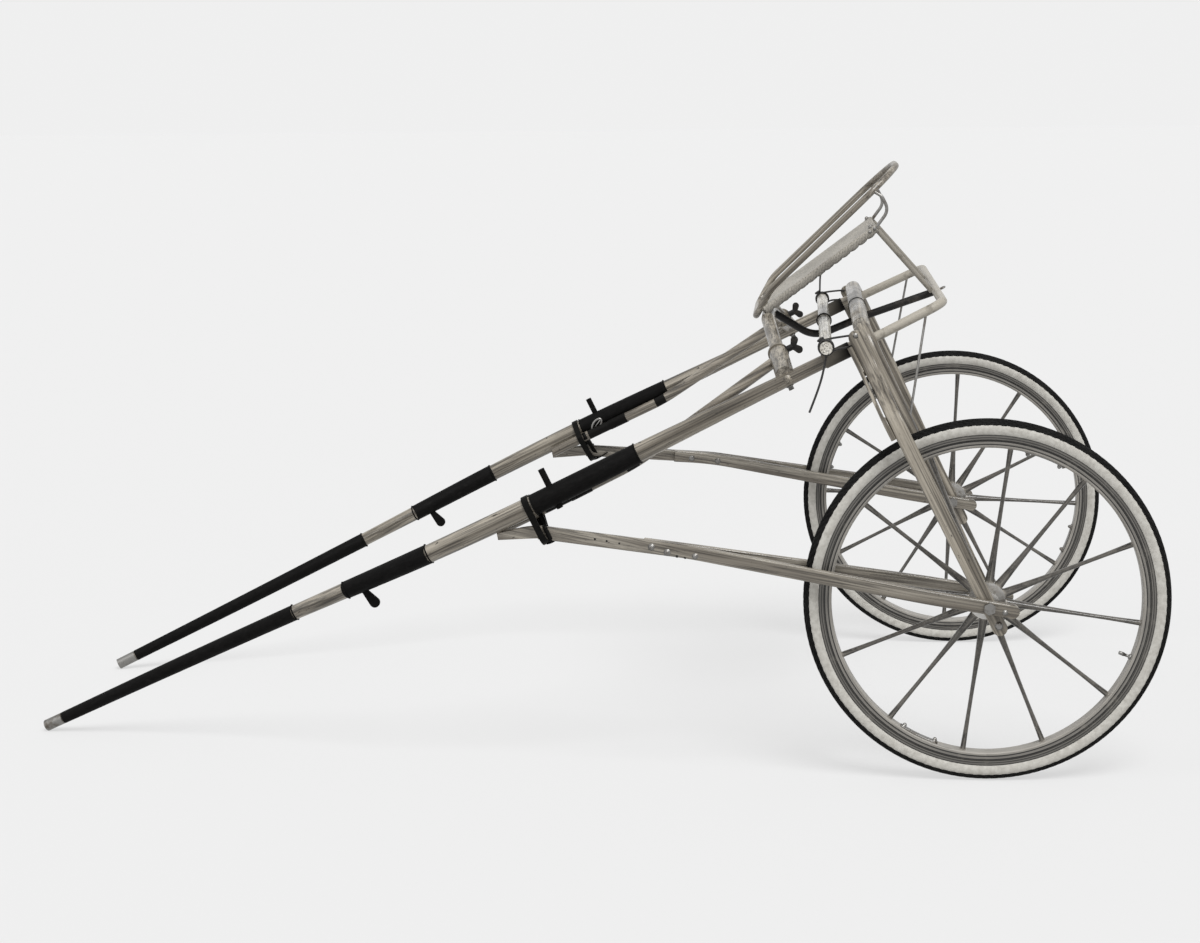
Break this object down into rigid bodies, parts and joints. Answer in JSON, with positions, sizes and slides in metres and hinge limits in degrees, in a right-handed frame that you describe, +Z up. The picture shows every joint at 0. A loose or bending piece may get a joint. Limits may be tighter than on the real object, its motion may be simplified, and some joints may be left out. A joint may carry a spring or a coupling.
{
  "type": "racing sulky",
  "caption": "Light wooden horse-racing cart with long bowed shafts, an arched axle frame, forked wheel legs, a sling seat with a hoop, and spoked wheels with pneumatic tyres.",
  "frame": {"origin": "on the floor, at the middle of the parked cart's length and width", "axes": "+X forward to the shaft tips, +Y to the cart's left, +Z up"},
  "size_m": [2.3244, 1.3322, 1.1848],
  "materials": {
    "wood": "worn varnish",
    "painted_wood": "worn varnish, darker",
    "whitewashed_wood": "worn, chalky",
    "leather": "worn",
    "canvas": "matt weave",
    "cord": "matt",
    "nickel": "dull",
    "painted_tube": "satin",
    "black_iron": "satin black",
    "tyre": "black tread, pale sidewall"
  },
  "bodies": {
    "frame": {"arch": "wood", "arch_band": "nickel", "centre_bar": "black_iron", "cross_bar": "whitewashed_wood", "front_bow": "wood", "left_axle": "nickel", "left_bow_clamp": "black_iron", "left_bow_sleeve": "wood", "left_brace_rail": "wood", "left_brace_rail_wrap": "leather", "left_brace_rod": "black_iron", "left_inner_stay": "wood", "left_lash_tail": "cord", "left_lashing": "cord", "left_leg_lap": "wood", "left_outer_leg": "wood", "left_seat_board": "canvas", "left_seat_bracket": "nickel", "left_seat_strut": "painted_tube", "left_shaft": "wood", "left_shaft_strap": "leather", "left_shaft_tip": "nickel", "left_shaft_wraps": "leather", "left_stay": "wood", "rear_rail": "painted_tube", "right_axle": "nickel", "right_bow_clamp": "black_iron", "right_bow_sleeve": "wood", "right_brace_rail": "wood", "right_brace_rail_wrap": "leather", "right_brace_rod": "black_iron", "right_inner_stay": "wood", "right_lashing": "cord", "right_leg_lap": "wood", "right_outer_leg": "wood", "right_seat_board": "canvas", "right_seat_bracket": "nickel", "right_seat_strut": "painted_tube", "right_shaft": "wood", "right_shaft_strap": "leather", "right_shaft_tip": "nickel", "right_shaft_wraps": "leather", "right_stay": "wood", "screw_eye": "nickel", "seat_hoop": "wood", "seat_sling": "canvas"},
    "left_wheel": {"left_hub": "nickel", "left_rim": "painted_wood", "left_spokes": "painted_wood", "left_tyre": "tyre"},
    "right_wheel": {"right_hub": "nickel", "right_rim": "painted_wood", "right_spokes": "painted_wood", "right_tyre": "tyre"}
  },
  "joints": [
    {"name": "left_wheel_spin", "type": "hinge", "parent": "frame", "child": "left_wheel", "pos_m": [-0.80673, 0.58, 0.3555], "axis": [0, 1, 0], "continuous": true},
    {"name": "right_wheel_spin", "type": "hinge", "parent": "frame", "child": "right_wheel", "pos_m": [-0.80673, -0.58, 0.3555], "axis": [0, 1, 0], "continuous": true}
  ]
}
